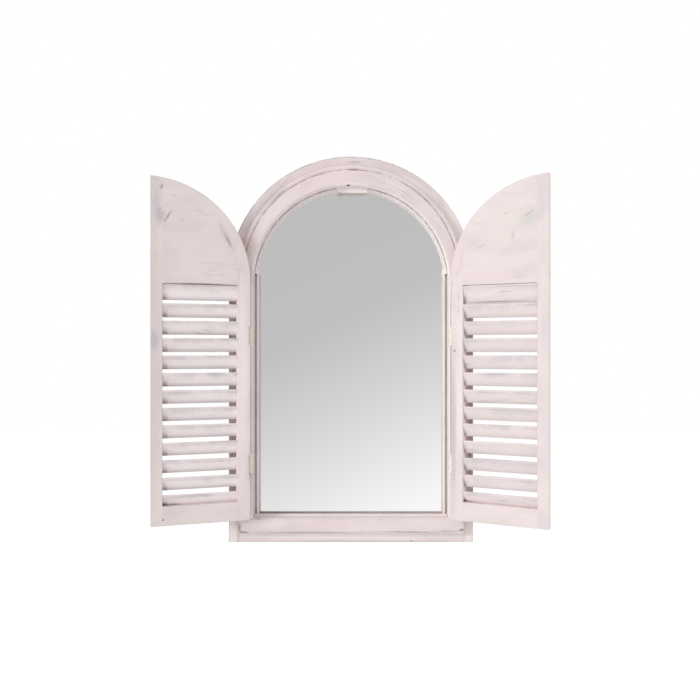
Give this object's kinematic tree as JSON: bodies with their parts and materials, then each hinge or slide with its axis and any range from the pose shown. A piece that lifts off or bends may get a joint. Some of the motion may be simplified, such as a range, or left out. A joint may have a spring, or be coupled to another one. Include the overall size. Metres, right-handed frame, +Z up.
{
  "type": "shutter mirror",
  "caption": "Arch-topped wall mirror in a whitewashed wooden frame, with a pair of hinged louvred shutters that close over the glass.",
  "frame": {"origin": "centre of the hook hole in the hanging plate, on the frame's flat back", "axes": "+X to the viewer's right, +Y into the wall, +Z up; the glass and the shutters face -Y"},
  "size_m": [0.5815, 0.1161, 0.6],
  "materials": {
    "whitewashed_wood": "distressed whitewash, worn to grey along the edges",
    "mirror": "polished silvered glass",
    "board": "raw brown fibreboard",
    "brass": "dull aged brass, partly painted over",
    "steel": "zinc-plated",
    "dark_nail": "dark, dull"
  },
  "bodies": {
    "frame": {"base_arch": "whitewashed_wood", "base_left_jamb": "whitewashed_wood", "base_right_jamb": "whitewashed_wood", "base_bottom_rail": "whitewashed_wood", "raised_arch": "whitewashed_wood", "raised_left_jamb": "whitewashed_wood", "raised_right_jamb": "whitewashed_wood", "raised_bottom_rail": "whitewashed_wood", "mirror_glass": "mirror", "backing_board": "board", "backing_pins": "steel", "stop_pad": "whitewashed_wood", "catch_nail": "dark_nail", "hanger_plate": "steel", "frame_screws": "steel", "hinge_pins": "brass", "left_lower_frame_hinge_plate": "brass", "left_upper_frame_hinge_plate": "brass", "right_lower_frame_hinge_plate": "brass", "right_upper_frame_hinge_plate": "brass"},
    "left_shutter": {"left_hinge_stile": "whitewashed_wood", "left_free_stile": "whitewashed_wood", "left_top_panel": "whitewashed_wood", "left_bottom_rail": "whitewashed_wood", "left_slat_1": "whitewashed_wood", "left_slat_2": "whitewashed_wood", "left_slat_3": "whitewashed_wood", "left_slat_4": "whitewashed_wood", "left_slat_5": "whitewashed_wood", "left_slat_6": "whitewashed_wood", "left_slat_7": "whitewashed_wood", "left_slat_8": "whitewashed_wood", "left_slat_9": "whitewashed_wood", "left_slat_10": "whitewashed_wood", "left_slat_11": "whitewashed_wood", "left_slat_12": "whitewashed_wood", "left_slat_13": "whitewashed_wood", "left_shutter_screws": "steel", "left_lower_shutter_hinge_plate": "brass", "left_upper_shutter_hinge_plate": "brass"},
    "right_shutter": {"right_hinge_stile": "whitewashed_wood", "right_free_stile": "whitewashed_wood", "right_top_panel": "whitewashed_wood", "right_bottom_rail": "whitewashed_wood", "right_slat_1": "whitewashed_wood", "right_slat_2": "whitewashed_wood", "right_slat_3": "whitewashed_wood", "right_slat_4": "whitewashed_wood", "right_slat_5": "whitewashed_wood", "right_slat_6": "whitewashed_wood", "right_slat_7": "whitewashed_wood", "right_slat_8": "whitewashed_wood", "right_slat_9": "whitewashed_wood", "right_slat_10": "whitewashed_wood", "right_slat_11": "whitewashed_wood", "right_slat_12": "whitewashed_wood", "right_slat_13": "whitewashed_wood", "right_shutter_screws": "steel", "right_lower_shutter_hinge_plate": "brass", "right_upper_shutter_hinge_plate": "brass"}
  },
  "joints": [
    {"name": "left_shutter_hinge", "type": "hinge", "parent": "frame", "child": "left_shutter", "pos_m": [-0.153, -0.0406, -0.349], "axis": [0, 0, -1], "range_deg": [-163, 17]},
    {"name": "right_shutter_hinge", "type": "hinge", "parent": "frame", "child": "right_shutter", "pos_m": [0.153, -0.0406, -0.349], "axis": [0, 0, 1], "range_deg": [-156, 24]}
  ]
}
